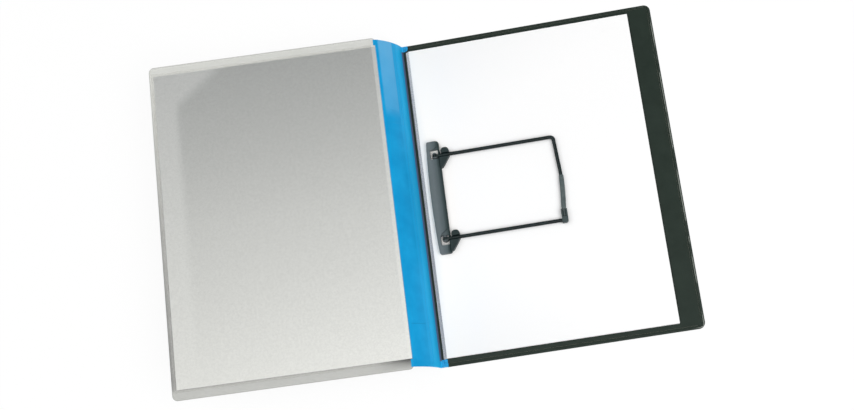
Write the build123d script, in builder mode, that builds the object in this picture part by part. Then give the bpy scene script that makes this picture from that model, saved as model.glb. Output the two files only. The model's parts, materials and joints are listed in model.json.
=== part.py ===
# Clip binder for punched A4 sheets, lying open: clear front cover, blue spine, black back cover and a
# filing clip. Millimetres. The back cover lies flat, X runs from the spine to the back cover's free edge,
# Y runs up the page and Z is up. The origin is the middle of the back cover's underside.
from build123d import *
from math import asin, cos, degrees, radians, sin
import os

# Filed sheets
paper_width = 210.0
paper_height = 297.0
stack_thickness = 3.0
stack_slant = 3.2
hole_spacing = 80.0
hole_inset = 13.0
paper_hole_diameter = 6.0

# Back cover
hinge_margin = 6.0
edge_band = 22.0
page_margin = 7.5
outer_foil = 0.5
board_thickness = 1.2
inner_foil = 0.4
weld_land = 2.5
board_clearance = 0.1
back_corner_radius = 6.0

# Spine strip and its label
spine_width = 36.0
spine_lean = 57.0
spine_bow = 3.0
spine_foil = 0.6
hinge_gap = 0.6
label_length = 190.0
label_width = 24.0
label_shift = -22.0
label_card = 0.25
label_foil = 0.25
label_land = 2.0

# Front cover
front_tilt = 5.5
front_overlap = 2.0
front_foil = 0.6
front_corner_radius = 4.5
pocket_foil = 0.3
pocket_land = 2.0
pocket_rim = 4.0
pocket_lip = 4.0
insert_thickness = 0.25
insert_margin = 0.5
slip = 0.05
sheet_play = 0.5

# Clip base, rivets and posts
base_width = 14.0
base_length = 108.0
base_thickness = 1.2
base_chamfer = 0.4
rivet_spacing = 44.0
rivet_shank = 3.0
rivet_head = 6.4
rivet_top_head = 0.6
rivet_low_head = 0.4
post_diameter = 5.4
post_spigot = 4.0
fork_gap = 2.8
pin_diameter = 1.2
pin_length = 4.4
pin_play = 0.05
fixed_play = 0.02

# Bail
pivot_above_sheets = 2.9
rod_diameter = 3.4
eye_diameter = 4.6
eye_thickness = 2.4
neck_length = 3.2
knuckle_length = 9.0
spigot_diameter = 1.8
spigot_length = 5.0
arm_length = 111.0
crossbar_bow = 2.2
crossbar_corner = 3.2
socket_width = 5.6
socket_height = 3.8
socket_length = 10.7
socket_corner = 2.4
socket_edge_radius = 0.3
grip_length = 32.0
grip_width = 5.0
grip_wall = 0.5
grip_taper = 4.0
grip_height = 3.0
grip_gap = 0.3
peg_diameter = 2.2
peg_length = 7.0
rod_seat = 2.6

# Compressor bar
bar_length = 108.0
bar_right = 4.6
bar_left = 6.6
bar_bulge = 1.8
bar_height = 5.5
bar_end_radius = 1.8
bar_edge_radius = 0.5
bevel_width = 3.4
bevel_drop = 2.8
bar_hole_right = 3.3
bar_hole_left = 4.3
bar_hole_inward = 3.4
bar_hole_outward = 6.2
bar_hole_corner = 1.2
slot_play = 0.3
ear_reach = 8.8
ear_height = 4.9
ear_top = 6.8
ear_foot = 12.2
ear_waist = 1.8
ear_round = 3.0
notch_width = 1.5
recess_depth = 2.0
recess_start = 4.6
recess_length = 10.5

# Levels and places that follow from the sizes
back_width = hinge_margin + paper_width + edge_band
back_height = paper_height + 2 * page_margin
rim_level = outer_foil + inner_foil
board_level = outer_foil + board_thickness
page_level = board_level + inner_foil
stack_top = page_level + stack_thickness
base_top = page_level + base_thickness
sheet_left = -back_width / 2 + hinge_margin
clip_x = sheet_left + hole_inset
pivot_z = stack_top + pivot_above_sheets
prong_y = hole_spacing / 2
sides = {"upper": prong_y, "lower": -prong_y}

back_hinge = Vector(-back_width / 2 - hinge_gap, 0, rim_level / 2)
lean_direction = Vector(-cos(radians(spine_lean)), 0, sin(radians(spine_lean)))
front_hinge = back_hinge + lean_direction * spine_width
front_width = insert_margin + paper_width + sheet_play + pocket_land + pocket_rim
front_height = back_height + 2 * front_overlap
cover_plane = Plane(
    origin=front_hinge,
    x_dir=(cos(radians(front_tilt)), 0, -sin(radians(front_tilt))),
    z_dir=(sin(radians(front_tilt)), 0, cos(radians(front_tilt))),
)

os.makedirs("parts", exist_ok=True)


def write(part, name):
    part.label = name
    export_step(part, f"parts/{name}.step")


# Outer foil of the back cover
with BuildPart() as back_outer_foil:
    with BuildSketch():
        RectangleRounded(back_width, back_height, back_corner_radius)
    extrude(amount=outer_foil)
write(back_outer_foil.part, "back_outer_foil")

# Board between the foils, with the rivets' low heads let into its underside
board_inset = weld_land + inner_foil + board_clearance
rivet_points = [(clip_x, rivet_spacing / 2), (clip_x, -rivet_spacing / 2)]
with BuildPart() as back_board:
    with BuildSketch(Plane.XY.offset(outer_foil)):
        RectangleRounded(
            back_width - 2 * board_inset, back_height - 2 * board_inset, back_corner_radius - weld_land
        )
    extrude(amount=board_thickness)
    with BuildSketch(Plane.XY.offset(outer_foil)):
        with Locations(*rivet_points):
            Circle(rivet_head / 2 + fixed_play)
    extrude(amount=rivet_low_head, mode=Mode.SUBTRACT)
    with BuildSketch(Plane.XY.offset(outer_foil)):
        with Locations(*rivet_points):
            Circle(rivet_shank / 2 + fixed_play)
    extrude(amount=board_thickness, mode=Mode.SUBTRACT)
write(back_board.part, "back_board")

# Inner foil: a flat rim welded to the outer foil and a raised field over the board
with BuildPart() as back_inner_foil:
    with BuildSketch(Plane.XY.offset(outer_foil)):
        RectangleRounded(back_width, back_height, back_corner_radius)
    extrude(amount=inner_foil)
    with BuildSketch(Plane.XY.offset(rim_level)):
        RectangleRounded(
            back_width - 2 * weld_land, back_height - 2 * weld_land, back_corner_radius - weld_land / 2
        )
    extrude(amount=page_level - rim_level)
    field_rim = faces().sort_by(Axis.Z)[-1].edges()
    chamfer(field_rim, length=inner_foil / 2)
    with BuildSketch(Plane.XY.offset(outer_foil)):
        RectangleRounded(
            back_width - 2 * (weld_land + inner_foil),
            back_height - 2 * (weld_land + inner_foil),
            back_corner_radius - weld_land,
        )
    extrude(amount=board_thickness, mode=Mode.SUBTRACT)
    with BuildSketch(Plane.XY.offset(board_level)):
        with Locations(*rivet_points):
            Circle(rivet_shank / 2 + fixed_play)
    extrude(amount=inner_foil, mode=Mode.SUBTRACT)
write(back_inner_foil.part, "back_inner_foil")

# Stack of sheets: slanted towards the spine, punched, and lying over the clip's base strip
with BuildPart() as filed_sheets:
    with BuildSketch(Plane.XZ):
        with BuildLine():
            Polyline(
                (sheet_left - stack_slant, page_level),
                (sheet_left + paper_width, page_level),
                (sheet_left + paper_width, stack_top),
                (sheet_left, stack_top),
                close=True,
            )
        make_face()
    extrude(amount=paper_height / 2, both=True)
    with BuildSketch(Plane.XY.offset(page_level)):
        with Locations((clip_x, 0)):
            Rectangle(base_width + sheet_play, base_length + sheet_play)
    extrude(amount=base_thickness + rivet_top_head + slip, mode=Mode.SUBTRACT)
    with BuildSketch(Plane.XY.offset(page_level)):
        with Locations((clip_x, prong_y), (clip_x, -prong_y)):
            Circle(paper_hole_diameter / 2)
    extrude(amount=stack_thickness, mode=Mode.SUBTRACT)
write(filed_sheets.part, "filed_sheets")

# Base strip of the clip
with BuildPart() as clip_base_strip:
    with BuildSketch(Plane.XY.offset(page_level)):
        with Locations((clip_x, 0)):
            RectangleRounded(base_width, base_length, base_width / 4)
        with Locations(*rivet_points):
            Circle(rivet_shank / 2 + fixed_play, mode=Mode.SUBTRACT)
        with Locations((clip_x, prong_y), (clip_x, -prong_y)):
            Circle(post_spigot / 2 + fixed_play, mode=Mode.SUBTRACT)
    extrude(amount=base_thickness)
    chamfer(edges().filter_by(GeomType.LINE).group_by(Axis.Z)[-1], length=base_chamfer)
write(clip_base_strip.part, "clip_base_strip")

# Rivets through strip, inner foil and board
with BuildPart() as clip_rivets:
    with BuildSketch(Plane.XY.offset(outer_foil)):
        with Locations(*rivet_points):
            Circle(rivet_head / 2)
    extrude(amount=rivet_low_head)
    with BuildSketch(Plane.XY.offset(outer_foil)):
        with Locations(*rivet_points):
            Circle(rivet_shank / 2)
    extrude(amount=base_top - outer_foil)
    with BuildSketch(Plane.XY.offset(base_top)):
        with Locations(*rivet_points):
            Circle(rivet_head / 2)
    extrude(amount=rivet_top_head)
    chamfer(edges().group_by(Axis.Z)[-1], length=rivet_top_head / 2)
write(clip_rivets.part, "clip_rivets")

# Posts with a fork at the top, their hinge pins and the knuckles that turn on them
for side, y in sides.items():
    pivot_plane = Plane(origin=(clip_x, y, pivot_z), x_dir=(1, 0, 0), z_dir=(0, -1, 0))
    rod_plane = Plane(origin=(clip_x, y, pivot_z), x_dir=(0, 1, 0), z_dir=(1, 0, 0))

    with BuildPart() as post:
        with BuildSketch(Plane.XY.offset(page_level)):
            with Locations((clip_x, y)):
                Circle(post_spigot / 2)
        extrude(amount=base_thickness)
        with BuildSketch(Plane.XY.offset(base_top)):
            with Locations((clip_x, y)):
                Circle(post_diameter / 2)
        extrude(amount=pivot_z + post_diameter / 2 - base_top)
        with BuildSketch(pivot_plane):
            with Locations((0, post_diameter / 2)):
                Rectangle(2 * post_diameter, post_diameter)
            Circle(post_diameter / 2, mode=Mode.SUBTRACT)
        extrude(amount=post_diameter, both=True, mode=Mode.SUBTRACT)
        with BuildSketch(rod_plane):
            with Locations((0, post_diameter / 2)):
                Rectangle(fork_gap, post_diameter + eye_diameter + 2 * slot_play)
        extrude(amount=post_diameter, both=True, mode=Mode.SUBTRACT)
        with BuildSketch(pivot_plane):
            Circle(pin_diameter / 2 + fixed_play)
        extrude(amount=post_diameter, both=True, mode=Mode.SUBTRACT)
    write(post.part, f"{side}_post")

    with BuildPart() as hinge_pin:
        with BuildSketch(pivot_plane):
            Circle(pin_diameter / 2)
        extrude(amount=pin_length / 2, both=True)
    write(hinge_pin.part, f"{side}_hinge_pin")

    with BuildPart() as knuckle:
        with BuildSketch(pivot_plane):
            Circle(eye_diameter / 2)
            with Locations((neck_length / 2, 0)):
                Rectangle(neck_length, rod_diameter)
        extrude(amount=eye_thickness / 2, both=True)
        with BuildSketch(rod_plane.offset(neck_length)):
            Circle(rod_diameter / 2)
        extrude(amount=knuckle_length - neck_length)
        with BuildSketch(rod_plane.offset(knuckle_length - spigot_length)):
            Circle(spigot_diameter / 2 + pin_play)
        extrude(amount=spigot_length, mode=Mode.SUBTRACT)
        with BuildSketch(pivot_plane):
            Circle(pin_diameter / 2 + pin_play)
        extrude(amount=eye_thickness, both=True, mode=Mode.SUBTRACT)
    write(knuckle.part, f"{side}_knuckle")

# Lower arm of the bail
lower_rod_plane = Plane(origin=(clip_x, -prong_y, pivot_z), x_dir=(0, 1, 0), z_dir=(1, 0, 0))
with BuildPart() as lower_arm:
    with BuildSketch(lower_rod_plane.offset(knuckle_length - spigot_length)):
        Circle(spigot_diameter / 2)
    extrude(amount=spigot_length)
    with BuildSketch(lower_rod_plane.offset(knuckle_length)):
        Circle(rod_diameter / 2)
    extrude(amount=arm_length - knuckle_length)
write(lower_arm.part, "lower_arm")

# Corner socket at the end of the lower arm: an open channel takes the gate's peg
corner_x = clip_x + arm_length
socket_front = -prong_y - socket_width / 2
socket_mouth = socket_front + socket_length + socket_corner
with BuildPart() as corner_socket:
    with BuildSketch(Plane.XY.offset(pivot_z - socket_height / 2)):
        with Locations((corner_x, (socket_front + socket_mouth) / 2)):
            Rectangle(socket_width, socket_mouth - socket_front)
        outer_corner = vertices().group_by(Axis.Y)[0].sort_by(Axis.X)[-1]
        fillet(outer_corner, radius=socket_corner)
    extrude(amount=socket_height)
    fillet(edges().group_by(Axis.Z)[-1], radius=socket_edge_radius)
    with BuildSketch(lower_rod_plane.offset(arm_length - socket_width / 2)):
        Circle(rod_diameter / 2 + fixed_play)
    extrude(amount=socket_width / 2 + fixed_play, mode=Mode.SUBTRACT)
    with BuildSketch(Plane.XY.offset(pivot_z - peg_diameter / 2 - slot_play)):
        with Locations((corner_x, socket_mouth - peg_length / 2)):
            Rectangle(peg_diameter + 2 * slot_play, peg_length + 2 * slot_play)
    extrude(amount=socket_height, mode=Mode.SUBTRACT)
write(corner_socket.part, "corner_socket")

# Gate: the upper arm and the crossbar in one bent rod, which turns in the upper knuckle
grip_end = socket_mouth + grip_gap
grip_start = grip_end + grip_length
bow_x = corner_x + crossbar_bow
with BuildPart() as gate_rod:
    with BuildLine():
        FilletPolyline(
            (clip_x + knuckle_length, prong_y, pivot_z),
            (corner_x, prong_y, pivot_z),
            (bow_x, grip_start - rod_seat, pivot_z),
            radius=crossbar_corner,
        )
    with BuildSketch(Plane(origin=(clip_x + knuckle_length, prong_y, pivot_z), z_dir=(1, 0, 0))):
        Circle(rod_diameter / 2)
    sweep()
    with BuildSketch(
        Plane(origin=(clip_x + knuckle_length - spigot_length, prong_y, pivot_z), z_dir=(1, 0, 0))
    ):
        Circle(spigot_diameter / 2)
    extrude(amount=spigot_length)
write(gate_rod.part, "gate_rod")

# Latch grip: the flattened end of the crossbar, with the peg that lies in the corner socket
rod_direction = Vector(bow_x - corner_x, grip_start - rod_seat - prong_y, 0).normalized()
grip_mouth = rod_diameter + 2 * grip_wall
with BuildPart() as latch_grip:
    with BuildSketch(Plane.XY.offset(pivot_z - grip_height / 2)):
        with BuildLine():
            Polyline(
                (bow_x - grip_mouth / 2, grip_start),
                (bow_x + grip_mouth / 2, grip_start),
                (bow_x + grip_width / 2, grip_start - grip_taper),
                (corner_x + grip_width / 2, grip_end),
                (corner_x - grip_width / 2, grip_end),
                (bow_x - grip_width / 2, grip_start - grip_taper),
                close=True,
            )
        make_face()
    extrude(amount=grip_height)
    fillet(edges().group_by(Axis.Z)[-1] + edges().group_by(Axis.Z)[0], radius=grip_height / 4)
    with BuildSketch(
        Plane(origin=(bow_x, grip_start - rod_seat, pivot_z), x_dir=(0, 0, 1), z_dir=-rod_direction)
    ):
        Circle(rod_diameter / 2 + fixed_play)
    extrude(amount=2 * rod_seat, mode=Mode.SUBTRACT)
    with BuildSketch(Plane(origin=(corner_x, grip_end, pivot_z), x_dir=(1, 0, 0), z_dir=(0, -1, 0))):
        Circle(peg_diameter / 2)
    extrude(amount=peg_length)
write(latch_grip.part, "latch_grip")

# Compressor bar: a bowed bar that lies on the sheets, with a hole round each post and an ear beside it
slot_width = rod_diameter + 2 * slot_play
slot_floor = pivot_z - slot_width / 2
bar_top = stack_top + bar_height
with BuildPart() as compressor_bar:
    with BuildSketch(Plane(origin=(clip_x, 0, stack_top))):
        with BuildLine():
            ThreePointArc(
                (-bar_left, bar_length / 2), (-bar_left - bar_bulge, 0), (-bar_left, -bar_length / 2)
            )
            Polyline(
                (-bar_left, -bar_length / 2),
                (bar_right, -bar_length / 2),
                (bar_right, bar_length / 2),
                (-bar_left, bar_length / 2),
            )
        make_face()
        fillet(vertices(), radius=bar_end_radius)
    extrude(amount=bar_height)
    bevel_corner = Plane(origin=(clip_x + bar_right, 0, bar_top), x_dir=(1, 0, 0), z_dir=(0, -1, 0))
    with BuildSketch(bevel_corner):
        with BuildLine():
            Polyline((-bevel_width, 0), (0, 0), (0, -bevel_drop), close=True)
        make_face()
    extrude(amount=bar_length, both=True, mode=Mode.SUBTRACT)
    top_face = faces().filter_by(Axis.Z).sort_by(Axis.Z)[-1]
    fillet(top_face.edges().sort_by(Axis.X)[:-1], radius=bar_edge_radius)
    for y in sides.values():
        with BuildSketch(Plane(origin=(clip_x, y, stack_top))):
            with BuildLine():
                Polyline(
                    (bar_right - bar_edge_radius, -ear_foot),
                    (bar_right + notch_width, -ear_foot),
                    (bar_right + ear_reach, -ear_waist),
                    (bar_right + ear_reach, ear_top),
                    (bar_right + notch_width, ear_top),
                    (bar_right + notch_width, slot_width / 2),
                    (bar_right - bar_edge_radius, slot_width / 2),
                    close=True,
                )
            make_face()
            fillet(vertices().group_by(Axis.Y)[-1], radius=ear_round)
            fillet(vertices().group_by(Axis.Y)[0].sort_by(Axis.X)[-1], radius=ear_round)
        extrude(amount=ear_height)
        outward = 1 if y > 0 else -1
        hole_middle = (bar_hole_right - bar_hole_left) / 2, outward * (bar_hole_outward - bar_hole_inward) / 2
        with BuildSketch(Plane(origin=(clip_x, y, stack_top))):
            with Locations(hole_middle):
                RectangleRounded(
                    bar_hole_left + bar_hole_right, bar_hole_inward + bar_hole_outward, bar_hole_corner
                )
        extrude(amount=bar_height, mode=Mode.SUBTRACT)
        with BuildSketch(Plane(origin=(clip_x, y, bar_top - recess_depth))):
            with BuildLine():
                Polyline(
                    (-bar_hole_left + bar_hole_corner, 0),
                    (-bar_hole_left + bar_hole_corner, recess_start),
                    (bar_right, recess_length),
                    (bar_right, 0),
                    close=True,
                )
            make_face()
        extrude(amount=recess_depth, mode=Mode.SUBTRACT)
        with BuildSketch(Plane(origin=(clip_x, y, slot_floor))):
            with Locations(((bar_right + ear_reach) / 2, 0)):
                Rectangle(bar_right + ear_reach, slot_width)
        extrude(amount=bar_height, mode=Mode.SUBTRACT)
write(compressor_bar.part, "compressor_bar")

# Bow of the spine: an arc through both hinges, in the XZ plane
bow_radius = (spine_width**2 / 4 + spine_bow**2) / (2 * spine_bow)
bow_half = degrees(asin(spine_width / 2 / bow_radius))
bow_angle = 90 - spine_lean
bow_normal = Vector(cos(radians(bow_angle)), 0, sin(radians(bow_angle)))
bow_centre = (back_hinge + front_hinge) * 0.5 - bow_normal * (bow_radius - spine_bow)


def bow_band(outer, thickness, half_angle):
    """Closed outline of a band on the bow, from its outer radius inwards, as wide as twice half_angle."""
    centre = (bow_centre.X, bow_centre.Z)
    outside = CenterArc(centre, outer, bow_angle - half_angle, 2 * half_angle)
    inside = CenterArc(centre, outer - thickness, bow_angle - half_angle, 2 * half_angle)
    Line(outside @ 0, inside @ 0)
    Line(outside @ 1, inside @ 1)


def across(width):
    """Half the angle that a width takes up on the bow."""
    return degrees(width / 2 / bow_radius)


# Spine strip with a round bead along each fold
with BuildPart() as spine_strip:
    with BuildSketch(Plane.XZ):
        with BuildLine():
            bow_band(bow_radius + spine_foil / 2, spine_foil, bow_half)
        make_face()
        with Locations((back_hinge.X, back_hinge.Z), (front_hinge.X, front_hinge.Z)):
            Circle(spine_foil / 2)
    extrude(amount=back_height / 2, both=True)
write(spine_strip.part, "spine_strip")

# Label pocket on the outer face of the spine, open at its upper end, and the card in it
pocket_skin = bow_radius - spine_foil / 2
label_space = label_card + 2 * slip
label_end = Plane.XZ.offset(-label_shift - label_length / 2)
with BuildPart() as spine_label_pocket:
    with BuildSketch(label_end):
        with BuildLine():
            bow_band(pocket_skin, label_space + label_foil, across(label_width + 2 * label_land))
        make_face()
    extrude(amount=label_length + label_land)
    with BuildSketch(label_end):
        with BuildLine():
            bow_band(pocket_skin, label_space, across(label_width + 2 * sheet_play))
        make_face()
    extrude(amount=label_length, mode=Mode.SUBTRACT)
write(spine_label_pocket.part, "spine_label_pocket")

with BuildPart() as spine_label_card:
    with BuildSketch(label_end):
        with BuildLine():
            bow_band(pocket_skin - slip, label_card, across(label_width))
        make_face()
    extrude(amount=label_length - sheet_play)
write(spine_label_card.part, "spine_label_card")

# Front cover: clear foil, with the insert sheet between it and the pocket foil
with BuildPart() as front_outer_foil:
    with BuildSketch(cover_plane.offset(-front_foil / 2)):
        with Locations((-hinge_gap - front_width / 2, 0)):
            Rectangle(front_width, front_height)
        fillet(vertices().group_by(Axis.X)[0], radius=front_corner_radius)
    extrude(amount=front_foil)
write(front_outer_foil.part, "front_outer_foil")

insert_edge = -hinge_gap - insert_margin
with BuildPart() as front_insert_sheet:
    with BuildSketch(cover_plane.offset(front_foil / 2 + slip)):
        with Locations((insert_edge - paper_width / 2, 0)):
            Rectangle(paper_width, paper_height)
    extrude(amount=insert_thickness)
write(front_insert_sheet.part, "front_insert_sheet")

# Pocket foil: welded on three sides, open towards the spine, where the insert's edge shows
insert_space = insert_thickness + 2 * slip
pocket_mouth = -hinge_gap - pocket_lip
pocket_back = insert_edge - paper_width - sheet_play
with BuildPart() as front_pocket_foil:
    with BuildSketch(cover_plane.offset(front_foil / 2)):
        with Locations(((pocket_mouth + pocket_back - pocket_land) / 2, 0)):
            Rectangle(
                pocket_mouth - pocket_back + pocket_land, paper_height + 2 * (sheet_play + pocket_land)
            )
        fillet(vertices().group_by(Axis.X)[0], radius=pocket_land)
    extrude(amount=insert_space + pocket_foil)
    with BuildSketch(cover_plane.offset(front_foil / 2)):
        with Locations(((pocket_mouth + pocket_back) / 2, 0)):
            Rectangle(pocket_mouth - pocket_back, paper_height + 2 * sheet_play)
    extrude(amount=insert_space, mode=Mode.SUBTRACT)
write(front_pocket_foil.part, "front_pocket_foil")
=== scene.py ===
"""Looks of the A4 clip binder: covers, bowed spine, sheets and filing clip, in metres."""
import json
import math
import random

import bmesh
import bpy
from mathutils import Matrix, Vector


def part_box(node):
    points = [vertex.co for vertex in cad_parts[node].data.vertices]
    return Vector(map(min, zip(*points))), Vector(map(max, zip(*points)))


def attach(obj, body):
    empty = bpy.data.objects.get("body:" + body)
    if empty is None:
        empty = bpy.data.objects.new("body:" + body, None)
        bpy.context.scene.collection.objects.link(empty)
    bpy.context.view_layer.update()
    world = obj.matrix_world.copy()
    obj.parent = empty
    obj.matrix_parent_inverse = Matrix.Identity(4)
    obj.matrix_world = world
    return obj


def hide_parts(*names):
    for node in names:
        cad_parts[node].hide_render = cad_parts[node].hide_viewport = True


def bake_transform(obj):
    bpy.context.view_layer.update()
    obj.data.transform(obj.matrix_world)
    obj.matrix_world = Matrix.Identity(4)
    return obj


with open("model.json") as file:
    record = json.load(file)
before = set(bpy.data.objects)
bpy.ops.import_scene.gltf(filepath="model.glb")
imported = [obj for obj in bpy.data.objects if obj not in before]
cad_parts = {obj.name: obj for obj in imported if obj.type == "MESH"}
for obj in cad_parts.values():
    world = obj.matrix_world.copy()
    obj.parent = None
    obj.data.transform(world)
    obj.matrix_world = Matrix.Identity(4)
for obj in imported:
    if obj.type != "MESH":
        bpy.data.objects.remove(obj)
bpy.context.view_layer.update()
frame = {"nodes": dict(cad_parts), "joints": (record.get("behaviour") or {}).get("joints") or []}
random.seed(7)
MM = 0.001

# Hinges and directions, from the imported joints
joints = {j["name"]: j for j in frame["joints"]}
back_hinge = Vector(joints["spine_hinge"]["pos_m"])
front_hinge = Vector(joints["front_cover_hinge"]["pos_m"])
slide = joints["insert_slide"]["axis"]
cover_out = Vector((-slide[0], 0, -slide[2])).normalized()
cover_up = Vector((-slide[2], 0, slide[0])).normalized()

# Boxes of the nodes that the pieces are fitted to
back_lo, back_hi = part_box("back_inner_foil")
back_foil_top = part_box("back_outer_foil")[1].z
stack_lo, stack_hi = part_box("filed_sheets")
strip_lo, strip_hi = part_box("clip_base_strip")
post_lo, post_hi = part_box("upper_post")
spine_lo, spine_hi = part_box("spine_strip")
label_lo, label_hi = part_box("spine_label_card")
front_lo, front_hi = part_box("front_outer_foil")
pocket_lo, pocket_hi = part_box("front_pocket_foil")

# Back cover
rim_top = back_foil_top + 0.4 * MM
weld_width = 2.5 * MM
cover_corner = 6 * MM
bead_place, bead_half, bead_height = 1.3 * MM, 0.35 * MM, 0.18 * MM
board_slope, rim_fall, edge_round = 0.9 * MM, 0.3 * MM, 0.5 * MM

# Stack of sheets
sheet_count = 28
stack_slant = 3.2 * MM
paper_hole = 3 * MM

# Front cover
foil_half = 0.3 * MM
cover_gap = 0.6 * MM
cover_fall, cover_bead = 0.22 * MM, 0.12 * MM
cover_bead_place, cover_bead_half = 1.6 * MM, 0.5 * MM
edge_colour_width = 0.7 * MM
cover_end = 215.4 * MM
front_corner = 5 * MM
fold_corner = 3.5 * MM
pocket_start, pocket_end = 4.6 * MM, 213.6 * MM
pocket_weld = 2 * MM
pocket_rise = 0.35 * MM

# Blue foil that is folded over both covers
seam_foil = 0.12 * MM
seam_reach = 2.4 * MM
seam_on_back = 0.5 * MM
seam_on_front = 1.0 * MM
tab_width = {"upper": 5.2 * MM, "lower": 6.0 * MM}
tab_start = {"upper": 150.4 * MM, "lower": 149.0 * MM}
tab_corners = {"upper": (0, 2.2 * MM, 0, 0), "lower": (0, 0, 0.8 * MM, 0)}
front_tab_width = 2.6 * MM
tab_air = 0.03 * MM

# Directions in the row frame, and spans over which a colour changes. Each span is measured
# along the direction that slope() is given with it.
EAST, WEST, NORTH, SOUTH = (1, 0, 0), (-1, 0, 0), (0, 1, 0), (0, -1, 0)
# page_margin: the span of the painted light on the page beside the spine.
page_margin = (80 * MM, 112 * MM)
# page_span and title_sheet_out: spans of the painted shade on the title sheet and in the pocket
# over it.
page_span = (-150 * MM, 150 * MM)
title_sheet_out = (140 * MM, 345 * MM)
# Span of the painted light and shade along the front cover's foil.
cover_span = (-158 * MM, 158 * MM)
# Span of the painted shade across the compressor bar.
bar_shade_across = (-108.5 * MM, -93.5 * MM)
# Span where the pressed line on the back cover carries its painted highlight.
weld_highlight_span = (108 * MM, 116 * MM)
# Painted highlight at the spine's upper end: where it starts, and the length over which it fades.
highlight_up, highlight_fading = (77 * MM, 91 * MM), (80 * MM, 150 * MM)
spine_crease, spine_front_edge = (126.2 * MM, 127.0 * MM), (-138.2 * MM, -136.6 * MM)
# Painted light on the spine's half beside the back fold: half lit over the first span, fully over
# the second.
spine_lit_half, spine_lit_full = (-126.8 * MM, -125.8 * MM), (-124.6 * MM, -122.8 * MM)
pocket_line_up, pocket_line_down = (-117.8 * MM, -117.0 * MM), (116.2 * MM, 117.0 * MM)
beside_sheets_up, beside_sheets_down = (-150.5 * MM, -149.2 * MM), (-151.2 * MM, -150.2 * MM)
# Painted shadow of the sheets on the blue seam: where it turns purple, and where dark.
sheet_shadow_purple, sheet_shadow_dark = (-122.4 * MM, -119.7 * MM), (-119.7 * MM, -118.7 * MM)
rim_shade_up, rim_shade_along = (-157.5 * MM, -148.5 * MM), (-173.5 * MM, -140.5 * MM)
rim_shade_below = (146.5 * MM, 148.5 * MM)
# Where the pocket's painted shade gives way: along the free edge and across one corner.
shade_clear_inside = (-334.5 * MM, -324.5 * MM)
shade_clear_corner_way, shade_clear_corner = (0.616, -0.79, 0), (-302 * MM, -288 * MM)

# Depths of the surface grain
fine_grain, moulded_grain, foil_grain = 0.01 * MM, 0.02 * MM, 0.03 * MM


def srgb(r, g, b):
    """Linear colour of an sRGB one, with its alpha."""
    def channel(c):
        c /= 255
        return c / 12.92 if c <= 0.04045 else ((c + 0.055) / 1.055) ** 2.4
    return (channel(r), channel(g), channel(b), 1.0)


def grey(level):
    return (level, level, level, 1.0)


# ---- Materials
def new_material(name):
    m = bpy.data.materials.new(name)
    m.use_nodes = True
    tree = m.node_tree
    return m, tree, tree.nodes["Principled BSDF"]


def link(tree, a, b):
    tree.links.new(a, b)


def noise(tree, scale, detail=4.0, stretch=(1, 1, 1)):
    """Noise in the piece's own coordinates, which are the row frame's."""
    place = tree.nodes.new("ShaderNodeTexCoord")
    size = tree.nodes.new("ShaderNodeMapping")
    size.inputs["Scale"].default_value = stretch
    texture = tree.nodes.new("ShaderNodeTexNoise")
    texture.inputs["Scale"].default_value = scale
    texture.inputs["Detail"].default_value = detail
    link(tree, place.outputs["Object"], size.inputs["Vector"])
    link(tree, size.outputs["Vector"], texture.inputs["Vector"])
    return texture.outputs["Fac"]


def ramp(tree, factor, stops):
    """Colour ramp over (position, colour) stops."""
    node = tree.nodes.new("ShaderNodeValToRGB")
    elements = node.color_ramp.elements
    while len(elements) < len(stops):
        elements.new(0.5)
    for element, (position, colour) in zip(elements, stops):
        element.position = position
        element.color = colour
    link(tree, factor, node.inputs["Fac"])
    return node.outputs["Color"]


def slope(tree, direction, low, high, smooth=True):
    """0 where the place along direction is low, 1 where it is high."""
    place = tree.nodes.new("ShaderNodeTexCoord")
    dot = tree.nodes.new("ShaderNodeVectorMath")
    dot.operation = "DOT_PRODUCT"
    dot.inputs[1].default_value = direction
    span = tree.nodes.new("ShaderNodeMapRange")
    span.interpolation_type = "SMOOTHSTEP" if smooth else "LINEAR"
    span.inputs["From Min"].default_value = low
    span.inputs["From Max"].default_value = high
    link(tree, place.outputs["Object"], dot.inputs[0])
    link(tree, dot.outputs["Value"], span.inputs["Value"])
    return span.outputs["Result"]


def calc(tree, operation, a, b, c=None):
    """Math node over sockets and numbers."""
    node = tree.nodes.new("ShaderNodeMath")
    node.operation = operation
    for socket, value in zip(node.inputs, (a, b, c)):
        if isinstance(value, (int, float)):
            socket.default_value = value
        elif value is not None:
            link(tree, value, socket)
    return node.outputs["Value"]


def mix(tree, factor, a, b):
    """Colour a where factor is 0 and b where it is 1; each is a socket or a colour."""
    node = tree.nodes.new("ShaderNodeMix")
    node.data_type = "RGBA"
    for name, value in (("A", a), ("B", b)):
        socket = [s for s in node.inputs if s.name == name and s.type == "RGBA"][0]
        if isinstance(value, tuple):
            socket.default_value = value
        else:
            link(tree, value, socket)
    link(tree, factor, [s for s in node.inputs if s.name == "Factor" and s.type == "VALUE"][0])
    return [s for s in node.outputs if s.type == "RGBA"][0]


def mottled(tree, factor, dark, light, low=0.3, high=0.7):
    """Tone between dark and light over the middle of a noise."""
    return ramp(tree, factor, [(low, dark), (high, light)])


def add_bump(tree, shader, height, distance):
    bump = tree.nodes.new("ShaderNodeBump")
    bump.inputs["Distance"].default_value = distance
    link(tree, height, bump.inputs["Height"])
    link(tree, bump.outputs["Normal"], shader.inputs["Normal"])


def uneven_gloss(tree, shader, roughness, scale):
    tone = mottled(tree, noise(tree, scale, 3.0), grey(roughness - 0.06), grey(roughness + 0.06))
    link(tree, tone, shader.inputs["Roughness"])


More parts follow.
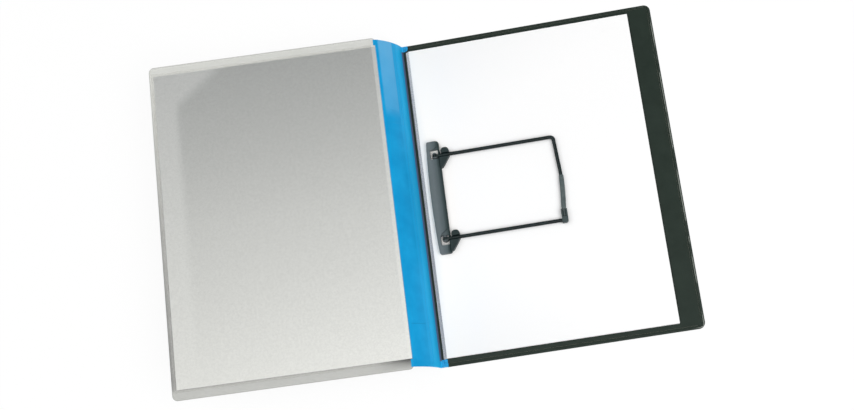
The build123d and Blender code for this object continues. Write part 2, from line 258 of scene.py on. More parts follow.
def plastic(name, dark, light, roughness, grain, depth, specular=0.5, blotch=60):
    """Foil or moulded plastic: colour between dark and light, uneven gloss and a fine grain."""
    m, tree, shader = new_material(name)
    link(tree, mottled(tree, noise(tree, blotch, 5.0), dark, light), shader.inputs["Base Color"])
    uneven_gloss(tree, shader, roughness, blotch * 3)
    shader.inputs["Specular IOR Level"].default_value = specular
    add_bump(tree, shader, noise(tree, grain, 3.0), depth)
    return m


def paper(name, colour, shade, stretch=(1, 1, 1), grain=1800, margin=None):
    """Grained paper between shade and colour; margin, where given, is painted light beside the
    spine: a warmer white that lifts the shade there.
    """
    m, tree, shader = new_material(name)
    mottle = noise(tree, grain, 4.0, stretch)
    tone = mottled(tree, mottle, shade, colour, 0.25, 0.75)
    # Painted light: the page turns a warmer white beside the spine, where shade and blue bounce
    # fall.
    if margin:
        tone = mix(tree, slope(tree, WEST, *page_margin), tone, margin)
    link(tree, tone, shader.inputs["Base Color"])
    shader.inputs["Roughness"].default_value = 0.85
    shader.inputs["Specular IOR Level"].default_value = 0.2
    add_bump(tree, shader, mottle, fine_grain)
    return m


def blue_foil_material(name, sheet_shaded):
    """Spine foil with a painted highlight over a length at its upper end, up to the crease.

    Where the sheets shade it, it turns purple and dark towards its end beside them: painted shadow
    of the sheets.
    """
    m, tree, shader = new_material(name)
    body = mottled(tree, noise(tree, 70, 9.0), srgb(3, 146, 205), srgb(16, 159, 217))
    # Painted highlight: lighter blue at the upper end, between the front edge and the crease.
    upper = slope(tree, NORTH, *highlight_up)
    towards_front = slope(tree, WEST, *spine_crease)
    edge = slope(tree, EAST, *spine_front_edge)
    mottle_and_highlight = calc(tree, "MULTIPLY", calc(tree, "MULTIPLY", upper, towards_front), edge)
    fading = calc(tree, "MULTIPLY_ADD", slope(tree, NORTH, *highlight_fading, smooth=False), 0.5, 0.5)
    mottle = calc(tree, "MULTIPLY_ADD", noise(tree, 70, 4.0), 0.5, 0.75)
    mottle_and_highlight = calc(tree, "MULTIPLY", mottle_and_highlight, calc(tree, "MULTIPLY", fading, mottle))
    below, above = slope(tree, NORTH, *pocket_line_up), slope(tree, SOUTH, *pocket_line_down)
    faint_edge = calc(tree, "MULTIPLY", edge, 0.45)
    pocket_line = calc(tree, "MULTIPLY", calc(tree, "MULTIPLY", below, above), faint_edge)
    pocket_line = calc(tree, "MULTIPLY", pocket_line, towards_front)
    body = mix(tree, pocket_line, body, srgb(2, 118, 172))
    # Painted light: the spine's half beside the back fold turns lighter blue, against the shade
    # there.
    painted_band_light = calc(tree, "MULTIPLY", slope(tree, EAST, *spine_lit_half), 0.5)
    body = mix(tree, painted_band_light, body, srgb(34, 172, 230))
    body = mix(tree, slope(tree, EAST, *spine_lit_full), body, srgb(36, 176, 232))
    if sheet_shaded:
        # Painted shadow of the sheets: the seam foil turns purple, then dark, towards its end
        # beside them.
        low = slope(tree, NORTH, *beside_sheets_up)
        high = slope(tree, SOUTH, *beside_sheets_down)
        beside_sheets = calc(tree, "MULTIPLY", low, high)
        purple = calc(tree, "MULTIPLY", slope(tree, EAST, *sheet_shadow_purple), beside_sheets)
        dark = calc(tree, "MULTIPLY", slope(tree, EAST, *sheet_shadow_dark), beside_sheets)
        body = mix(tree, purple, body, srgb(88, 110, 150))
        body = mix(tree, dark, body, srgb(76, 86, 104))
    link(tree, mix(tree, mottle_and_highlight, body, srgb(91, 173, 221)), shader.inputs["Base Color"])
    uneven_gloss(tree, shader, 0.42, 90)
    shader.inputs["Specular IOR Level"].default_value = 0.16
    add_bump(tree, shader, noise(tree, 2200, 3.0), fine_grain)
    return m


def bar_material():
    """Moulded plastic of the compressor bar, with painted shade that darkens it across its width to
    the ears.
    """
    m, tree, shader = new_material("bar_plastic")
    # Painted shade: lighter on the bar's left side, dark on its right flank and ears.
    across = slope(tree, EAST, *bar_shade_across, smooth=False)
    tone = ramp(tree, across, [
        (0.0, srgb(93, 105, 107)), (0.3, srgb(100, 110, 114)), (0.65, srgb(74, 87, 90)),
        (0.82, srgb(34, 50, 51)), (1.0, srgb(28, 44, 44)),
    ])
    mottle = calc(tree, "MULTIPLY", noise(tree, 300, 4.0), 0.16)
    link(tree, mix(tree, mottle, tone, srgb(20, 30, 31)), shader.inputs["Base Color"])
    uneven_gloss(tree, shader, 0.5, 180)
    shader.inputs["Specular IOR Level"].default_value = 0.3
    add_bump(tree, shader, noise(tree, 3000, 3.0), moulded_grain)
    return m


def weld_line_material():
    """Black foil whose pressed line carries a broken painted highlight near the free edge."""
    m, tree, shader = new_material("weld_line")
    body = mottled(tree, noise(tree, 60, 5.0), srgb(29, 41, 34), srgb(35, 47, 40))
    # Painted highlight: light grey in broken places along the pressed line.
    broken = mottled(tree, noise(tree, 55, 3.0, (1, 0.7, 1)), grey(0.05), grey(1), 0.42, 0.5)
    weld_highlight = calc(tree, "MULTIPLY", broken, slope(tree, EAST, *weld_highlight_span))
    link(tree, mix(tree, weld_highlight, body, srgb(128, 133, 126)), shader.inputs["Base Color"])
    uneven_gloss(tree, shader, 0.36, 200)
    shader.inputs["Specular IOR Level"].default_value = 0.25
    add_bump(tree, shader, noise(tree, 1600, 3.0), foil_grain)
    return m


def insert_material():
    """Title sheet: grained paper with painted shade, darker towards its upper end and slightly to
    the free edge.
    """
    m, tree, shader = new_material("insert_paper")
    # Painted light and shade: lighter at the lower end and beside the fold, darker towards the
    # upper end.
    upward = slope(tree, NORTH, *page_span, smooth=False)
    outward = slope(tree, WEST, *title_sheet_out, smooth=False)
    lower = mix(tree, outward, (0.803, 0.807, 0.771, 1), (0.721, 0.725, 0.691, 1))
    upper = mix(tree, outward, (0.488, 0.497, 0.485, 1), (0.472, 0.480, 0.469, 1))
    plain = mix(tree, upward, lower, upper)
    grain = mottled(tree, noise(tree, 520, 7.0), grey(0.0), grey(1.0), 0.36, 0.64)
    darker = mix(tree, calc(tree, "MULTIPLY", 0.075, grain), plain, grey(0.0))
    link(tree, darker, shader.inputs["Base Color"])
    shader.inputs["Roughness"].default_value = 0.85
    shader.inputs["Specular IOR Level"].default_value = 0.2
    add_bump(tree, shader, noise(tree, 1500, 5.0), fine_grain)
    return m


deep_shade, deepest_shade = srgb(20, 25, 25), 0.96


def one_side(share):
    """Alpha of one side of a foil whose two sides together hide share of what is behind."""
    return 1 - math.sqrt(1 - share)


def fold_shade(tree):
    """Shade on the front cover's lower rim, deepest at the title sheet's corner beside the fold."""
    outward = slope(tree, NORTH, *rim_shade_up, smooth=False)
    towards_fold = slope(tree, EAST, *rim_shade_along, smooth=False)
    below_sheet = slope(tree, SOUTH, *rim_shade_below)
    shade = calc(tree, "MULTIPLY", calc(tree, "MULTIPLY", outward, towards_fold), below_sheet)
    return calc(tree, "MULTIPLY", shade, deepest_shade)


def clear_foil(name, colour, share, roughness, grain=1500, shaded=False):
    """Even clear foil that hides share of what is behind."""
    m, tree, shader = new_material(name)
    alpha = one_side(share)
    mottle_and_highlight = mottled(tree, noise(tree, 300, 4.0), grey(alpha - 0.02), grey(alpha + 0.02))
    link(tree, mottle_and_highlight, shader.inputs["Alpha"])
    brighter = tuple(c * 1.04 for c in colour[:3]) + (1,)
    tone = mottled(tree, noise(tree, 80, 4.0), colour, brighter)
    if shaded:
        tone = mix(tree, fold_shade(tree), tone, deep_shade)
    link(tree, tone, shader.inputs["Base Color"])
    shader.inputs["Roughness"].default_value = roughness
    add_bump(tree, shader, noise(tree, grain, 3.0), fine_grain)
    return m


def pocket_material():
    """Pocket foil whose dark haze is painted shade: it deepens towards its upper end, but stays
    clear along the free edge and in one corner.
    """
    m, tree, shader = new_material("pocket_foil")
    stops = [(0.0, 0.0), (0.3, 0.019), (0.5, 0.0295), (0.7, 0.055), (1.0, 0.08)]
    # Painted shade over the title sheet, growing towards the pocket's upper end.
    upward = slope(tree, NORTH, *page_span, smooth=False)
    upward = ramp(tree, upward, [(p, grey(v)) for p, v in stops])
    inside = slope(tree, EAST, *shade_clear_inside)
    corner = slope(tree, shade_clear_corner_way, *shade_clear_corner)
    painted_shade = calc(tree, "MULTIPLY", upward, calc(tree, "MULTIPLY", inside, corner))
    grain = calc(tree, "MULTIPLY_ADD", noise(tree, 500, 5.0), 0.01, 0.001)
    link(tree, calc(tree, "ADD", painted_shade, grain), shader.inputs["Alpha"])
    tone = mottled(tree, noise(tree, 120, 4.0), (0.09, 0.10, 0.098, 1), (0.10, 0.11, 0.105, 1))
    link(tree, tone, shader.inputs["Base Color"])
    shader.inputs["Roughness"].default_value = 0.3
    add_bump(tree, shader, noise(tree, 1500, 3.0), fine_grain)
    return m


def outer_foil_material(name, gain, share):
    """Front cover's foil, its tone painted light and shade: light at both ends, darkest near the
    lower one, shaded at the fold.
    """
    m, tree, shader = new_material(name)
    upward = slope(tree, NORTH, *cover_span, smooth=False)
    # Painted light and shade along the cover, from its lower end to its upper one.
    stops = [
        (0.0, 0.50), (0.02, 0.475), (0.035, 0.22), (0.15, 0.20),
        (0.55, 0.35), (0.85, 0.57), (1.0, 0.67),
    ]
    tinted = [(p, (v * gain, v * gain * 1.01, v * gain * 0.95, 1)) for p, v in stops]
    tone = ramp(tree, upward, tinted)
    shade = fold_shade(tree)
    link(tree, mix(tree, shade, tone, deep_shade), shader.inputs["Base Color"])
    low, high = one_side(share - 0.04), one_side(share + 0.04)
    mottle_and_highlight = mottled(tree, noise(tree, 60, 4.0), grey(low), grey(high))
    link(tree, mix(tree, shade, mottle_and_highlight, grey(0.9)), shader.inputs["Alpha"])
    shader.inputs["Roughness"].default_value = 0.32
    add_bump(tree, shader, noise(tree, 1500, 3.0), fine_grain)
    return m


def bail_plastic(name, dark, light, roughness):
    """Plastic of the bail's parts, with small blotches."""
    return plastic(name, dark, light, roughness, 3000, fine_grain, 0.3, 250)


black_foil = plastic("black_foil", srgb(29, 41, 34), srgb(35, 47, 40), 0.42, 1600, foil_grain, 0.22)
weld_line = weld_line_material()
blue_foil = blue_foil_material("blue_foil", False)
# Spine foil with the sheets' painted shadow, for the seam over the back fold.
sheet_shadow_blue_foil = blue_foil_material("sheet_shadow_blue_foil", True)
tab_foil = plastic(
    "tab_foil", srgb(34, 150, 205), srgb(40, 156, 212), 0.42, 2200, fine_grain, 0.16, 90
)
clip_plastic = plastic("clip_plastic", srgb(72, 80, 83), srgb(80, 88, 91), 0.5, 3000, moulded_grain)
bar_plastic = bar_material()
rod_plastic = bail_plastic("rod_plastic", srgb(7, 19, 19), srgb(22, 37, 38), 0.3)
socket_plastic = bail_plastic("socket_plastic", srgb(48, 62, 63), srgb(64, 77, 78), 0.36)
grip_plastic = bail_plastic("grip_plastic", srgb(66, 78, 79), srgb(86, 97, 97), 0.38)
steel = plastic("rivet_steel", srgb(190, 190, 190), srgb(205, 205, 205), 0.3, 2500, fine_grain)
steel.node_tree.nodes["Principled BSDF"].inputs["Metallic"].default_value = 1.0
# Warm white painted beside the spine as light that lifts the shade there.
painted_margin_light = (1.0, 0.975, 0.94, 1)
white_paper = paper("white_paper", srgb(252, 252, 252), srgb(248, 248, 248), margin=painted_margin_light)
# The sheets' left, slanted edges: a lilac grey painted as shade.
shaded_edges = paper(
    "paper_edges_left_painted_shade", srgb(170, 164, 166), srgb(146, 140, 145), (1, 0.05, 3), 900
)
paper_edges = paper("paper_edges", srgb(240, 240, 240), srgb(214, 214, 216), (40, 1, 60), 900)
card_paper = paper("label_paper", srgb(240, 240, 236), srgb(234, 234, 230))
insert_paper = insert_material()
board = paper("board", srgb(150, 145, 135), srgb(135, 130, 120))
outer_clear = outer_foil_material("outer_clear_foil", 1.0, 0.85)
outer_edge = outer_foil_material("outer_foil_edge", 0.85, 0.92)
pocket_clear = pocket_material()
weld_clear = clear_foil("weld_clear_foil", srgb(216, 216, 208), 0.22, 0.3, shaded=True)
label_clear = clear_foil("label_clear_foil", srgb(225, 228, 224), 0.2, 0.15)


# ---- Mesh tools
def new_piece(name, mesh, materials):
    """Object for a finished mesh, smooth but for its corners."""
    obj = bpy.data.objects.new(name, mesh)
    bpy.context.scene.collection.objects.link(obj)
    for m in materials:
        mesh.materials.append(m)
    mesh.shade_smooth()
    mesh.set_sharp_from_angle(angle=math.radians(40))
    return obj


def step(x, low, high):
    """Smooth rise from 0 at low to 1 at high."""
    t = min(1, max(0, (x - low) / (high - low)))
    return t * t * (3 - 2 * t)


def ridge(x, centre, half):
    """Rounded ridge of height 1 about centre."""
    t = (x - centre) / half
    return math.sqrt(1 - t * t) if abs(t) < 1 else 0.0


def grid_lines(low, high, edge, fine, coarse):
    """Places from low to high: steps of fine within edge of each end, and coarse between."""
    n_edge = max(1, round(edge / fine))
    n_middle = max(1, round((high - low - 2 * edge) / coarse))
    start = [low + edge * i / n_edge for i in range(n_edge)]
    middle = [low + edge + (high - low - 2 * edge) * i / n_middle for i in range(n_middle)]
    return start + middle + [high - edge + edge * i / n_edge for i in range(n_edge + 1)]


def plate(name, us, vs, place, top, bottom, materials, radii=(0, 0, 0, 0), zone=None):
    """Closed plate on a grid of us and vs.

    place(u, v, h) gives a point, and top(u, v) and bottom(u, v) give h. The radii round the
    corners at (low u, low v), (high u, low v), (high u, high v) and (low u, high v).
    zone(u, v) gives a face's material.
    """
    corners = [
        (us[0], vs[0], 1, 1), (us[-1], vs[0], -1, 1),
        (us[-1], vs[-1], -1, -1), (us[0], vs[-1], 1, -1),
    ]

    def rounded(u, v):
        for (cu, cv, su, sv), r in zip(corners, radii):
            a = 1 - (u - cu) * su / r if r else 0
            b = 1 - (v - cv) * sv / r if r else 0
            if a > 0 and b > 0:
                a, b = a * math.sqrt(1 - b * b / 2), b * math.sqrt(1 - a * a / 2)
                return cu + su * r * (1 - a), cv + sv * r * (1 - b)
        return u, v

    bm = bmesh.new()
    sides = []
    for surface in (top, bottom):
        sides.append([[bm.verts.new(place(*rounded(u, v), surface(u, v))) for u in us] for v in vs])
    nu, nv = len(us), len(vs)
    for j in range(nv - 1):
        for i in range(nu - 1):
            index = zone((us[i] + us[i + 1]) / 2, (vs[j] + vs[j + 1]) / 2) if zone else 0
            for side in sides:
                quad = (side[j][i], side[j][i + 1], side[j + 1][i + 1], side[j + 1][i])
                bm.faces.new(quad).material_index = index
    rim = [(i, 0) for i in range(nu)] + [(nu - 1, j) for j in range(1, nv)]
    rim += [(i, nv - 1) for i in range(nu - 2, -1, -1)] + [(0, j) for j in range(nv - 2, 0, -1)]
    for (i, j), (k, n) in zip(rim, rim[1:] + rim[:1]):
        bm.faces.new((sides[0][j][i], sides[1][j][i], sides[1][n][k], sides[0][n][k]))
    bmesh.ops.remove_doubles(bm, verts=bm.verts, dist=1e-7)
    bmesh.ops.recalc_face_normals(bm, faces=bm.faces)
    mesh = bpy.data.meshes.new(name)
    bm.to_mesh(mesh)
    bm.free()
    return new_piece(name, mesh, materials)


def flat(x, y, z):
    return (x, y, z)


# ---- Back cover: the inner foil, welded to the outer one round the board
def back_edge(u, v):
    return min(u - back_lo.x, back_hi.x - u, v - back_lo.y, back_hi.y - v)


def inner_top(u, v):
    d = back_edge(u, v)
    z = rim_top + (back_hi.z - rim_top) * step(d, weld_width, weld_width + board_slope)
    fall = rim_fall * (1 - step(d, 0, edge_round))
    return z - fall + bead_height * ridge(d, bead_place, bead_half)


us = grid_lines(back_lo.x, back_hi.x, 7 * MM, 0.175 * MM, 12 * MM)
vs = grid_lines(back_lo.y, back_hi.y, 7 * MM, 0.175 * MM, 12 * MM)
inner_foil = plate(
    "back_cover_inner_foil", us, vs, flat, inner_top, lambda u, v: back_foil_top,
    [black_foil, weld_line], (cover_corner,) * 4,
    lambda u, v: int(abs(back_edge(u, v) - bead_place) < bead_half),
)
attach(inner_foil, "back_cover")
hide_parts("back_inner_foil")

# ---- Filed sheets, each a little askew, with the edges slanted towards the spine
# How far a sheet's edges may stand off, in metres, and how far it may be turned, in radians
left_scatter = (-0.02 * MM, 0.14 * MM)
end_scatter = (-0.15 * MM, 0.15 * MM)
right_scatter = (-0.35 * MM, 0)
turn_scatter = (-0.0008, 0.0008)
strip_play = 0.5 * MM
air_below, air_above = 0.012 * MM, 0.006 * MM
clip_x = (post_lo.x + post_hi.x) / 2
prong_y = (post_lo.y + post_hi.y) / 2
strip_cover = strip_hi.z + 0.65 * MM


def circle(x, y, radius, count=28):
    angles = [math.tau * i / count for i in range(count)]
    return [(x + radius * math.cos(a), y + radius * math.sin(a)) for a in angles]


def add_sheet(bm, z0, z1, left0, left1, right, y0, y1, holes, turn):
    """Punched sheet from z0 to z1, turned a little about the clip.

    Its left edge goes from left0 to left1.
    """
    c, s = math.cos(turn), math.sin(turn)

    def ring(points, z):
        arms = [(x - clip_x, y) for x, y in points]
        return [bm.verts.new((clip_x + x * c - y * s, x * s + y * c, z)) for x, y in arms]

    low = [(left0, y0), (right, y0), (right, y1), (left0, y1)]
    high = [(left1, y0), (right, y0), (right, y1), (left1, y1)]
    loops = [(ring(a, z0), ring(b, z1)) for a, b in [(low, high)] + [(h, h) for h in holes]]
    for n, (a, b) in enumerate(loops):
        for i in range(len(a)):
            k = (i + 1) % len(a)
            face = bm.faces.new((a[i], a[k], b[k], b[i]))
            # The left edge of each sheet takes the painted shade.
            face.material_index = 2 if n == 0 and i == 3 else 1
    for side in (0, 1):
        rings = [loop[side] for loop in loops]
        edges = [bm.edges.get((r[i], r[(i + 1) % len(r)])) for r in rings for i in range(len(r))]
        bmesh.ops.triangle_fill(bm, use_beauty=True, edges=edges)


bm = bmesh.new()
thickness = (stack_hi.z - stack_lo.z) / sheet_count
for i in range(sheet_count):
    z0 = stack_lo.z + i * thickness
    is_top = i == sheet_count - 1
    left = stack_lo.x + stack_slant * i / sheet_count + random.uniform(*left_scatter)
    jog = 0 if is_top else random.uniform(*end_scatter)
    slip = random.uniform(*right_scatter)
    turn = 0 if is_top else random.uniform(*turn_scatter)
    if z0 < strip_cover:
        play = Vector((strip_play, strip_play, 0))
        low, high = strip_lo - play, strip_hi + play
        holes = [[(low.x, low.y), (high.x, low.y), (high.x, high.y), (low.x, high.y)]]
    else:
        holes = [circle(clip_x, y, paper_hole) for y in (prong_y, -prong_y)]
    add_sheet(
        bm, z0 + air_below, z0 + thickness - air_above, left, left + stack_slant / sheet_count,
        stack_hi.x + slip, stack_lo.y + jog, stack_hi.y + jog, holes, turn,
    )
bmesh.ops.recalc_face_normals(bm, faces=bm.faces)
mesh = bpy.data.meshes.new("sheet_stack")
bm.to_mesh(mesh)
bm.free()
stack = new_piece("sheet_stack", mesh, [white_paper, paper_edges, shaded_edges])
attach(stack, "back_cover")
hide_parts("filed_sheets")

# ---- Spine foil on its bow, with pressed lines beside both folds, a crease and the label's outline
chord = front_hinge - back_hinge
spine_width = chord.length
bow = 3 * MM
bow_radius = (spine_width ** 2 / 4 + bow ** 2) / (2 * bow)
bow_normal = Vector((chord.z, 0, -chord.x)).normalized()
bow_centre = (back_hinge + front_hinge) / 2 - bow_normal * (bow_radius - bow)
arc_half = bow_radius * math.asin(spine_width / 2 / bow_radius)
along = chord.normalized()
crease = -4.5 * MM
label_half = 12.4 * MM


def on_spine(s, y, h):
    """Point on the bow: s runs from the middle towards the front fold, h towards the sheets."""
    a = s / bow_radius
    p = bow_centre + (bow_normal * math.cos(a) + along * math.sin(a)) * (bow_radius + h)
    return (p.x, y, p.z)


def spine_top(s, y):
    h = foil_half
    h += 0.12 * MM * ridge(s, arc_half - 3.4 * MM, 0.4 * MM)
    h -= 0.16 * MM * ridge(s, crease, 0.7 * MM)
    if label_lo.y < y < label_hi.y:
        h += 0.06 * MM * (ridge(s, -label_half, 0.4 * MM) + ridge(s, label_half, 0.4 * MM))
    if abs(s) < label_half:
        h += 0.06 * MM * (ridge(y, label_lo.y, 0.4 * MM) + ridge(y, label_hi.y, 0.4 * MM))
        h -= 0.10 * MM * ridge(y, 86 * MM + 0.12 * s, 1.2 * MM)
    return h


us = grid_lines(-arc_half + 0.25 * MM, arc_half - 0.25 * MM, 13.5 * MM, 0.2 * MM, 0.5 * MM)
round_a_line = (-0.5, -0.3, -0.15, 0, 0.15, 0.3, 0.5)
dents = [y + d * MM for y in (label_lo.y, label_hi.y) for d in round_a_line]
dents += [(82 + 0.5 * i) * MM for i in range(17)]
vs = sorted(set(grid_lines(spine_lo.y, spine_hi.y, 0.6 * MM, 0.2 * MM, 8 * MM) + dents))
spine_foil = plate("spine_foil", us, vs, on_spine, spine_top, lambda s, y: -foil_half, [blue_foil])
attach(spine_foil, "spine")
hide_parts("spine_strip")


# ---- Front cover: clear foil, pocket and their weld
def on_cover(u, y, h):
    """Point on the front cover: u outwards from the fold, h above the cover's middle plane."""
    p = front_hinge + cover_out * u + cover_up * h
    return (p.x, y, p.z)


def cover_edge(u, v):
    return min(cover_end - u, v - front_lo.y, front_hi.y - v)


def outer_top(u, v):
    d = cover_edge(u, v)
    fall = cover_fall * (1 - step(d, 0, edge_round))
    return foil_half - fall + cover_bead * ridge(d, cover_bead_place, cover_bead_half)


us = grid_lines(cover_gap, cover_end, 6 * MM, 0.2 * MM, 14 * MM)
vs = grid_lines(front_lo.y, front_hi.y, 6 * MM, 0.2 * MM, 14 * MM)
outer_foil = plate(
    "front_cover_outer_foil", us, vs, on_cover, outer_top, lambda u, v: -foil_half,
    [outer_clear, outer_edge], (fold_corner, front_corner, front_corner, fold_corner),
    lambda u, v: int(cover_edge(u, v) < edge_colour_width),
)
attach(outer_foil, "front_cover")
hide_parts("front_outer_foil")


def pocket_edge(u, v):
    return min(pocket_end - u, v - pocket_lo.y, pocket_hi.y - v)


def pocket_top(u, v):
    d = pocket_edge(u, v)
    rise = pocket_rise * step(d, 1.0 * MM, 2.3 * MM) - 0.2 * MM * (1 - step(d, 0, 0.3 * MM))
    return 2 * foil_half + rise


def pocket_under(u, v):
    air = 0.01 * MM
    return foil_half + air + (pocket_rise + air) * step(pocket_edge(u, v), 1.0 * MM, 2.0 * MM)


us = grid_lines(pocket_start, pocket_end, 4 * MM, 0.2 * MM, 14 * MM)
vs = grid_lines(pocket_lo.y, pocket_hi.y, 4 * MM, 0.2 * MM, 14 * MM)
pocket = plate(
    "front_pocket", us, vs, on_cover, pocket_top, pocket_under, [pocket_clear, weld_clear],
    (0, pocket_weld, pocket_weld, 0), lambda u, v: int(pocket_edge(u, v) < pocket_weld),
)
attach(pocket, "front_cover")
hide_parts("front_pocket_foil")


# ---- Blue foil over both folds, with tabs in the margins beyond the sheets
def bend(start, start_way, end, end_way, reach, count=14):
    """Smooth path in the XZ plane from start to end, with the given directions at its ends."""
    a, b, c, d = start, start + start_way * reach, end - end_way * reach, end
    path = []
    for i in range(count + 1):
        t = i / count
        r = 1 - t
        path.append(a * r ** 3 + b * 3 * t * r ** 2 + c * 3 * t * t * r + d * t ** 3)
    return path


def foil_on_path(name, path, y0, y1, side, material, end_thickness):
    """Strip of blue foil along a path, from y0 to y1; side 1 puts its face left of the path."""
    last = len(path) - 1
    normals = []
    for i in range(len(path)):
        way = path[min(i + 1, last)] - path[max(i - 1, 0)]
        normals.append(Vector((-way.z, 0, way.x)).normalized() * side)

    def place(i, y, h):
        p = path[i] + normals[i] * h
        return (p.x, y, p.z)

    def thickness(i, y):
        return seam_foil + (end_thickness - seam_foil) * step(i, 0, 0.8 * last)

    ys = grid_lines(y0, y1, 0.5 * MM, 0.25 * MM, 20 * MM)
    piece = plate(name, list(range(len(path))), ys, place, thickness, lambda i, y: 0, [material])
    return piece


def spine_way(s):
    a = s / bow_radius
    return along * math.cos(a) - bow_normal * math.sin(a)


face = foil_half + tab_air
low_s, high_s = -arc_half + seam_reach, arc_half - seam_reach
back_start = Vector(on_spine(low_s, 0, face))
back_end = Vector((back_lo.x + seam_on_back, 0, rim_top + tab_air))
path = bend(back_start, -spine_way(low_s), back_end, Vector((1, 0, 0)), 1.3 * MM)
back_seam = foil_on_path(
    "back_fold_seam", path, spine_lo.y, spine_hi.y, 1, sheet_shadow_blue_foil, seam_foil
)
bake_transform(back_seam)

front_start = Vector(on_spine(high_s, 0, face))
front_end = Vector(on_cover(seam_on_front, 0, foil_half + 0.006 * MM))
path = bend(front_start, spine_way(high_s), front_end, cover_out, 0.9 * MM)
front_seam = foil_on_path("front_fold_seam", path, spine_lo.y, spine_hi.y, -1, blue_foil, 0.02 * MM)
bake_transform(front_seam)

for side, sign in (("upper", 1), ("lower", -1)):
    low, high = sorted((sign * tab_start[side], sign * spine_hi.y))
    left, right = back_lo.x + 0.4 * MM, back_lo.x + tab_width[side]
    us = grid_lines(left, right, 0.4 * MM, 0.2 * MM, 0.3 * MM)
    vs = grid_lines(low, high, 0.4 * MM, 0.2 * MM, 0.3 * MM)
    tab = plate(
        f"{side}_back_tab", us, vs, flat,
        lambda u, v: max(inner_top(u, v), rim_top) + seam_foil + 0.06 * MM,
        lambda u, v: max(inner_top(u, v), rim_top) + tab_air, [tab_foil], tab_corners[side],
    )
    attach(tab, "back_cover")
    us = grid_lines(cover_gap, front_tab_width, 0.4 * MM, 0.2 * MM, 0.5 * MM)
    tab = plate(
        f"{side}_front_tab", us, vs, on_cover,
        lambda u, v: foil_half + seam_foil + 0.05 * MM,
        lambda u, v: foil_half + tab_air, [blue_foil],
    )
    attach(tab, "front_cover")

# ---- Latch grip: a flattened sleeve on the crossbar, with the peg that lies in the corner socket
grip_lo, grip_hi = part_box("latch_grip")
socket_lo, socket_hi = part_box("corner_socket")
grip_z = (grip_lo.z + grip_hi.z) / 2
grip_end = socket_hi.y + 0.3 * MM
grip_start = grip_hi.y
end_x = (socket_lo.x + socket_hi.x) / 2
start_x = end_x + 2.2 * MM


def superellipse(a, b, power, count=32):
    """Points round a flattened ring with half axes a and b."""
    points = []
    for i in range(count):
        c, s = math.cos(math.tau * i / count), math.sin(math.tau * i / count)
        x = math.copysign(abs(c) ** (2 / power), c) * a
        points.append((x, math.copysign(abs(s) ** (2 / power), s) * b))
    return points


def lofted(name, stations, material):
    """Closed body through rings; each station is (x, y, half width, half height, power)."""
    bm = bmesh.new()
    rings = []
    for x, y, a, b, power in stations:
        ring = superellipse(a, b, power)
        rings.append([bm.verts.new((x + dx, y, grip_z + dz)) for dx, dz in ring])
    for low, high in zip(rings, rings[1:]):
        for i in range(len(low)):
            k = (i + 1) % len(low)
            bm.faces.new((low[i], low[k], high[k], high[i]))
    bm.faces.new(rings[0])
    bm.faces.new(rings[-1])
    bmesh.ops.recalc_face_normals(bm, faces=bm.faces)
    mesh = bpy.data.meshes.new(name)
    bm.to_mesh(mesh)
    bm.free()
    return new_piece(name, mesh, [material])


stations = []
station_count = 41
for i in range(station_count):
    t = i / (station_count - 1)
    y = grip_start + (grip_end - grip_start) * t
    x = start_x + (end_x - start_x) * t + 0.35 * MM * math.sin(math.pi * t)
    mouth = 1 - step(t, 0.0, 0.14)
    tail = step(t, 0.95, 1.0)
    ends = 0.25 * MM * (1 - min(1, t / 0.02)) + 0.25 * MM * (1 - min(1, (1 - t) / 0.02))
    width = 2.25 * MM - 0.2 * MM * mouth - 0.2 * MM * tail - ends
    height = 1.5 * MM + 0.38 * MM * mouth - ends
    stations.append((x, y, width, height, 2.5 - 0.4 * mouth))
sleeve = lofted("latch_grip_sleeve", stations, grip_plastic)
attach(sleeve, "gate")
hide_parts("latch_grip")
peg_end = grip_lo.y
peg_radius, peg_tip = 1.1 * MM, 0.8 * MM
stations = [
    (end_x, grip_end + 0.5 * MM, peg_radius, peg_radius, 2),
    (end_x, peg_end + 0.3 * MM, peg_radius, peg_radius, 2), (end_x, peg_end, peg_tip, peg_tip, 2),
]
peg = lofted("latch_grip_peg", stations, grip_plastic)
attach(peg, "gate")

# ---- Better materials on the CAD nodes that stay
for node, material in {
    "back_outer_foil": black_foil, "back_board": board,
    "clip_base_strip": clip_plastic, "clip_rivets": steel,
    "upper_post": clip_plastic, "lower_post": clip_plastic,
    "upper_hinge_pin": steel, "lower_hinge_pin": steel,
    "spine_label_pocket": label_clear, "spine_label_card": card_paper,
    "front_insert_sheet": insert_paper, "compressor_bar": bar_plastic,
    "upper_knuckle": rod_plastic, "lower_knuckle": rod_plastic,
    "lower_arm": rod_plastic, "corner_socket": socket_plastic, "gate_rod": rod_plastic,
}.items():
    for s in frame["nodes"][node].material_slots:
        s.material = material

# ---- Floor
floor_half, floor_z = 6, -0.4 * MM
floor_glow = 0.9
floor_mesh = bpy.data.meshes.new("floor")
ring_order = ((-1, -1), (1, -1), (1, 1), (-1, 1))
floor_ring = [(x * floor_half, y * floor_half, floor_z) for x, y in ring_order]
floor_mesh.from_pydata(floor_ring, [], [(0, 1, 2, 3)])
floor = bpy.data.objects.new("floor", floor_mesh)
bpy.context.scene.collection.objects.link(floor)
m, tree, shader = new_material("floor")
shader.inputs["Base Color"].default_value = (1, 1, 1, 1)
shader.inputs["Roughness"].default_value = 0.9
shader.inputs["Specular IOR Level"].default_value = 0.0
glow = tree.nodes.new("ShaderNodeEmission")
seen = tree.nodes.new("ShaderNodeMixShader")
path_node = tree.nodes.new("ShaderNodeLightPath")
glow_share = calc(tree, "MULTIPLY", path_node.outputs["Is Camera Ray"], floor_glow)
link(tree, glow_share, seen.inputs["Fac"])
link(tree, shader.outputs["BSDF"], seen.inputs[1])
link(tree, glow.outputs["Emission"], seen.inputs[2])
link(tree, seen.outputs["Shader"], tree.nodes["Material Output"].inputs["Surface"])
floor_mesh.materials.append(m)

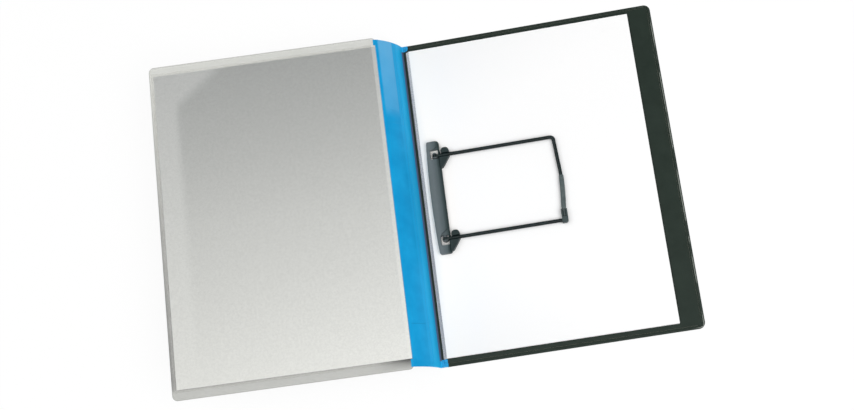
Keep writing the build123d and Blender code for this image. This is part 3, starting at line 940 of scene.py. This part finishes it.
# ---- Light: the world lights the part by world_light, and the camera sees it as plain white
world_light = 0.26
world = bpy.data.worlds.new("studio")
bpy.context.scene.world = world
world.use_nodes = True
tree = world.node_tree
background = tree.nodes["Background"]
background.inputs["Color"].default_value = (1, 1, 1, 1)
path_node = tree.nodes.new("ShaderNodeLightPath")
is_seen = path_node.outputs["Is Camera Ray"]
strength = calc(tree, "MULTIPLY_ADD", is_seen, 1 - world_light, world_light)
link(tree, strength, background.inputs["Strength"])


softbox_target, softbox_size = (-0.05, 0, 0), 3.0


def softbox(name, location, power):
    data = bpy.data.lights.new(name, "AREA")
    data.shape = "RECTANGLE"
    data.size = data.size_y = softbox_size
    data.energy = power
    lamp = bpy.data.objects.new(name, data)
    bpy.context.scene.collection.objects.link(lamp)
    lamp.location = location
    lamp.rotation_mode = "QUATERNION"
    way = Vector(softbox_target) - Vector(location)
    lamp.rotation_quaternion = way.to_track_quat("-Z", "Y")


softbox("key_softbox", (1.5, -1.4, 3.0), 104)
softbox("fill_softbox", (-1.6, 0.2, 3.0), 41)

# ---- Camera, at the photograph's viewing angle
camera_place = Vector((0.05669, -0.36535, 1.27918))
elevation, azimuth, roll = (math.radians(a) for a in (73.116, 19.184, -27.698))
camera_data = bpy.data.cameras.new("camera")
camera_data.sensor_width = 36
camera_data.lens = 60.78
camera_data.shift_x = -0.053
camera_data.shift_y = -0.014
camera_data.clip_start = 0.05
camera_data.clip_end = 50
camera = bpy.data.objects.new("camera", camera_data)
bpy.context.scene.collection.objects.link(camera)
right = Vector((math.cos(azimuth), math.sin(azimuth), 0))
level = math.cos(elevation)
back = Vector((math.sin(azimuth) * level, -math.cos(azimuth) * level, math.sin(elevation)))
up = back.cross(right)
turned_right = right * math.cos(roll) + up * math.sin(roll)
turned_up = up * math.cos(roll) - right * math.sin(roll)
turned = Matrix((turned_right, turned_up, back)).transposed().to_4x4()
camera.matrix_world = Matrix.Translation(camera_place) @ turned
bpy.context.scene.camera = camera
bpy.context.scene.view_settings.view_transform = "Standard"
